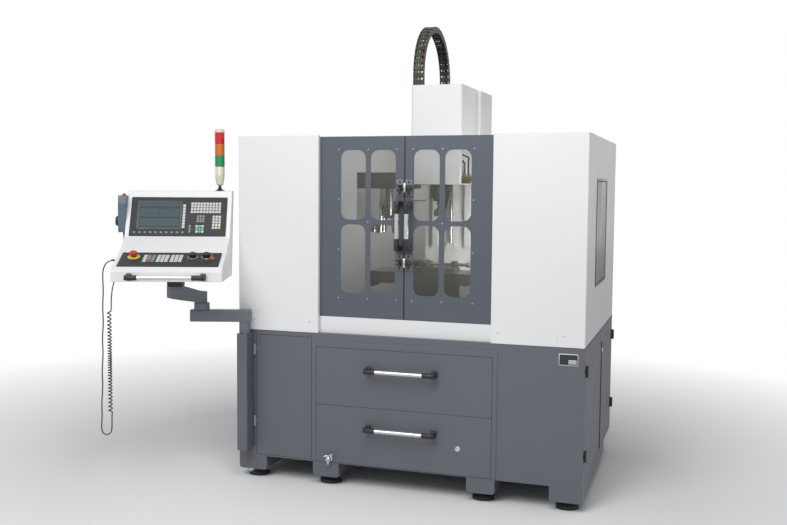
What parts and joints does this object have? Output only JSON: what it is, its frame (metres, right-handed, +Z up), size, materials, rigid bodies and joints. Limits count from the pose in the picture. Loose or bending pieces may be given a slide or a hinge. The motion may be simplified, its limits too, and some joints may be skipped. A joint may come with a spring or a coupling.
{
  "type": "cnc machining center",
  "caption": "Small enclosed vertical machining centre with sliding windowed doors, drawers in its floor cabinet and a control pendant on a jointed arm.",
  "frame": {"origin": "on the floor, under the middle of the whole outline, pendant included", "axes": "+Z up from the floor, +X to the right seen from the operator's side, +Y from the front to the rear"},
  "size_m": [2.3399, 1.8401, 2.3636],
  "materials": {
    "white_enamel": "satin",
    "grey_enamel": "textured satin",
    "door_enamel": "textured satin",
    "pane": "clear",
    "ground_iron": "ground",
    "cast_grey": "satin",
    "bright_steel": "brushed",
    "tray_steel": "sheet",
    "handle_alloy": "satin",
    "motor_black": "semi-gloss",
    "foot_black": "matte",
    "chain_black": "matte",
    "panel_black": "matte",
    "stop_red": "glossy",
    "knob_black": "matte",
    "key_orange": "matte",
    "lens": "glossy",
    "cord_teal": "matte",
    "lock_chrome": "polished"
  },
  "bodies": {
    "machine_frame": {"levelling_feet": "foot_black", "base_cabinet": "grey_enamel", "enclosure_left": "white_enamel", "enclosure_right": "white_enamel", "side_window": "pane", "enclosure_rear": "white_enamel", "front_frame": "white_enamel", "chip_tray": "tray_steel", "bed_casting": "ground_iron", "axis_motors": "motor_black", "column": "cast_grey", "cable_chain": "chain_black", "pendant_post": "grey_enamel", "magazine_housing": "white_enamel"},
    "upper_drawer_body": {"upper_drawer": "grey_enamel", "upper_drawer_handle": "handle_alloy"},
    "lower_drawer_body": {"lower_drawer": "grey_enamel", "lower_drawer_handle": "handle_alloy"},
    "drawer_lock_body": {"drawer_lock": "lock_chrome"},
    "cabinet_door_body": {"cabinet_door": "grey_enamel"},
    "front_side_door_body": {"front_side_door": "grey_enamel"},
    "rear_side_door_body": {"rear_side_door": "grey_enamel"},
    "side_lock_body": {"side_door_lock": "lock_chrome"},
    "left_door_body": {"left_door": "door_enamel", "left_door_pane": "pane", "left_door_fittings": "handle_alloy"},
    "right_door_body": {"right_door": "door_enamel", "right_door_pane": "pane", "right_door_fittings": "handle_alloy"},
    "saddle_body": {"saddle": "ground_iron"},
    "table_body": {"work_table": "ground_iron", "x_motor": "motor_black", "vise_body": "bright_steel"},
    "x_screw_body": {"x_screw": "bright_steel"},
    "y_screw_body": {"y_screw": "bright_steel"},
    "z_screw_body": {"z_screw": "bright_steel"},
    "vise_jaw_body": {"vise_jaw": "bright_steel"},
    "vise_screw_body": {"vise_screw": "bright_steel"},
    "head_body": {"head_casting": "cast_grey", "head_cover": "white_enamel", "spindle_motor": "motor_black"},
    "spindle_body": {"spindle": "bright_steel", "milling_tool": "bright_steel"},
    "carousel_body": {"carousel": "bright_steel"},
    "lower_arm_body": {"lower_arm": "grey_enamel"},
    "upper_arm_body": {"upper_arm": "grey_enamel"},
    "pendant_body": {"pendant_housing": "white_enamel", "operator_panel": "panel_black", "machine_panel": "panel_black", "pendant_handle": "handle_alloy", "signal_tower": "lens", "handwheel_unit": "white_enamel", "cord_lead": "cord_teal", "cord_coil": "cord_teal", "cord_tail": "cord_teal"},
    "emergency_button_body": {"emergency_button": "stop_red"},
    "feed_knob_body": {"feed_knob": "knob_black"},
    "spindle_knob_body": {"spindle_knob": "knob_black"},
    "key_switch_body": {"key_switch": "key_orange"},
    "dial_body": {"handwheel_dial": "knob_black"}
  },
  "joints": [
    {"name": "upper_drawer_slide", "type": "slide", "parent": "machine_frame", "child": "upper_drawer_body", "axis": [0, -1, 0], "range_m": [0, 0.45]},
    {"name": "lower_drawer_slide", "type": "slide", "parent": "machine_frame", "child": "lower_drawer_body", "axis": [0, -1, 0], "range_m": [0, 0.45]},
    {"name": "drawer_lock_turn", "type": "hinge", "parent": "lower_drawer_body", "child": "drawer_lock_body", "pos_m": [0.5633, -0.342, 0.249], "axis": [0, -1, 0], "range_deg": [0, 90]},
    {"name": "cabinet_door_hinge", "type": "hinge", "parent": "machine_frame", "child": "cabinet_door_body", "pos_m": [-0.5037, -0.3456, 0.4], "axis": [0, 0, 1], "range_deg": [-88, 0]},
    {"name": "front_side_door_hinge", "type": "hinge", "parent": "machine_frame", "child": "front_side_door_body", "pos_m": [1.1629, -0.322, 0.4], "axis": [0, 0, 1], "range_deg": [-100, 0]},
    {"name": "rear_side_door_hinge", "type": "hinge", "parent": "machine_frame", "child": "rear_side_door_body", "pos_m": [1.1629, 0.902, 0.4], "axis": [0, 0, 1], "range_deg": [0, 100]},
    {"name": "side_lock_turn", "type": "hinge", "parent": "rear_side_door_body", "child": "side_lock_body", "pos_m": [1.1553, 0.405, 0.645], "axis": [1, 0, 0], "range_deg": [0, 90]},
    {"name": "left_door_slide", "type": "slide", "parent": "machine_frame", "child": "left_door_body", "axis": [-1, 0, 0], "range_m": [0, 0.38]},
    {"name": "right_door_slide", "type": "slide", "parent": "machine_frame", "child": "right_door_body", "axis": [1, 0, 0], "range_m": [0, 0.38]},
    {"name": "saddle_y", "type": "slide", "parent": "machine_frame", "child": "saddle_body", "axis": [0, 1, 0], "range_m": [-0.045, 0.135]},
    {"name": "table_x", "type": "slide", "parent": "saddle_body", "child": "table_body", "axis": [1, 0, 0], "range_m": [-0.195, 0.195]},
    {"name": "x_screw_turn", "type": "hinge", "parent": "table_body", "child": "x_screw_body", "pos_m": [0.3253, 0.159, 0.9978], "axis": [1, 0, 0], "range_deg": [-7100, 7100]},
    {"name": "y_screw_turn", "type": "hinge", "parent": "machine_frame", "child": "y_screw_body", "pos_m": [0.3253, 0.259, 0.884], "axis": [0, 1, 0], "range_deg": [-1700, 4950]},
    {"name": "head_z", "type": "slide", "parent": "machine_frame", "child": "head_body", "axis": [0, 0, 1], "range_m": [-0.22, 0], "deforming": ["cable_chain"]},
    {"name": "z_screw_turn", "type": "hinge", "parent": "machine_frame", "child": "z_screw_body", "pos_m": [0.3253, 0.407, 1.5], "axis": [0, 0, 1], "range_deg": [-8000, 60]},
    {"name": "spindle_turn", "type": "hinge", "parent": "head_body", "child": "spindle_body", "pos_m": [0.3253, 0.199, 1.45], "axis": [0, 0, 1], "continuous": true},
    {"name": "vise_jaw_slide", "type": "slide", "parent": "table_body", "child": "vise_jaw_body", "axis": [1, 0, 0], "range_m": [-0.02, 0.09]},
    {"name": "vise_screw_turn", "type": "hinge", "parent": "vise_jaw_body", "child": "vise_screw_body", "pos_m": [0.3803, 0.159, 1.0931], "axis": [1, 0, 0], "range_deg": [-1500, 6600]},
    {"name": "carousel_turn", "type": "hinge", "parent": "machine_frame", "child": "carousel_body", "pos_m": [0.0413, 0.179, 1.34], "axis": [0, 0, 1], "continuous": true},
    {"name": "lower_arm_swing", "type": "hinge", "parent": "machine_frame", "child": "lower_arm_body", "pos_m": [-0.5407, -0.383, 0.8], "axis": [0, 0, 1], "range_deg": [-4, 45]},
    {"name": "upper_arm_swing", "type": "hinge", "parent": "lower_arm_body", "child": "upper_arm_body", "pos_m": [-0.74588, -0.45365, 0.89], "axis": [0, 0, 1], "range_deg": [-10, 20]},
    {"name": "pendant_swivel", "type": "hinge", "parent": "upper_arm_body", "child": "pendant_body", "pos_m": [-0.82582, -0.5704, 1.02], "axis": [0, 0, 1], "range_deg": [-10, 30]},
    {"name": "emergency_push", "type": "slide", "parent": "pendant_body", "child": "emergency_button_body", "axis": [0.1231, -0.3383, 0.933], "range_m": [-0.006, 0], "stiffness_N_per_m": 500},
    {"name": "feed_knob_turn", "type": "hinge", "parent": "pendant_body", "child": "feed_knob_body", "pos_m": [-0.68541, -0.64917, 1.1518], "axis": [0.1231, -0.3383, 0.933], "range_deg": [0, 270]},
    {"name": "spindle_knob_turn", "type": "hinge", "parent": "pendant_body", "child": "spindle_knob_body", "pos_m": [-0.62339, -0.6266, 1.1518], "axis": [0.1231, -0.3383, 0.933], "range_deg": [0, 270]},
    {"name": "key_turn", "type": "hinge", "parent": "pendant_body", "child": "key_switch_body", "pos_m": [-0.58441, -0.63723, 1.1428], "axis": [0.1231, -0.3383, 0.933], "range_deg": [0, 90]},
    {"name": "dial_turn", "type": "hinge", "parent": "pendant_body", "child": "dial_body", "pos_m": [-1.14535, -0.56964, 1.319], "axis": [-0.9397, -0.342, 0], "continuous": true}
  ],
  "couplings": [
    {"joint": "x_screw_turn", "follows": "table_x", "rad_per_m": 628.32},
    {"joint": "y_screw_turn", "follows": "saddle_y", "rad_per_m": 628.32},
    {"joint": "z_screw_turn", "follows": "head_z", "rad_per_m": 628.32},
    {"joint": "vise_screw_turn", "follows": "vise_jaw_slide", "rad_per_m": 1256.6}
  ]
}
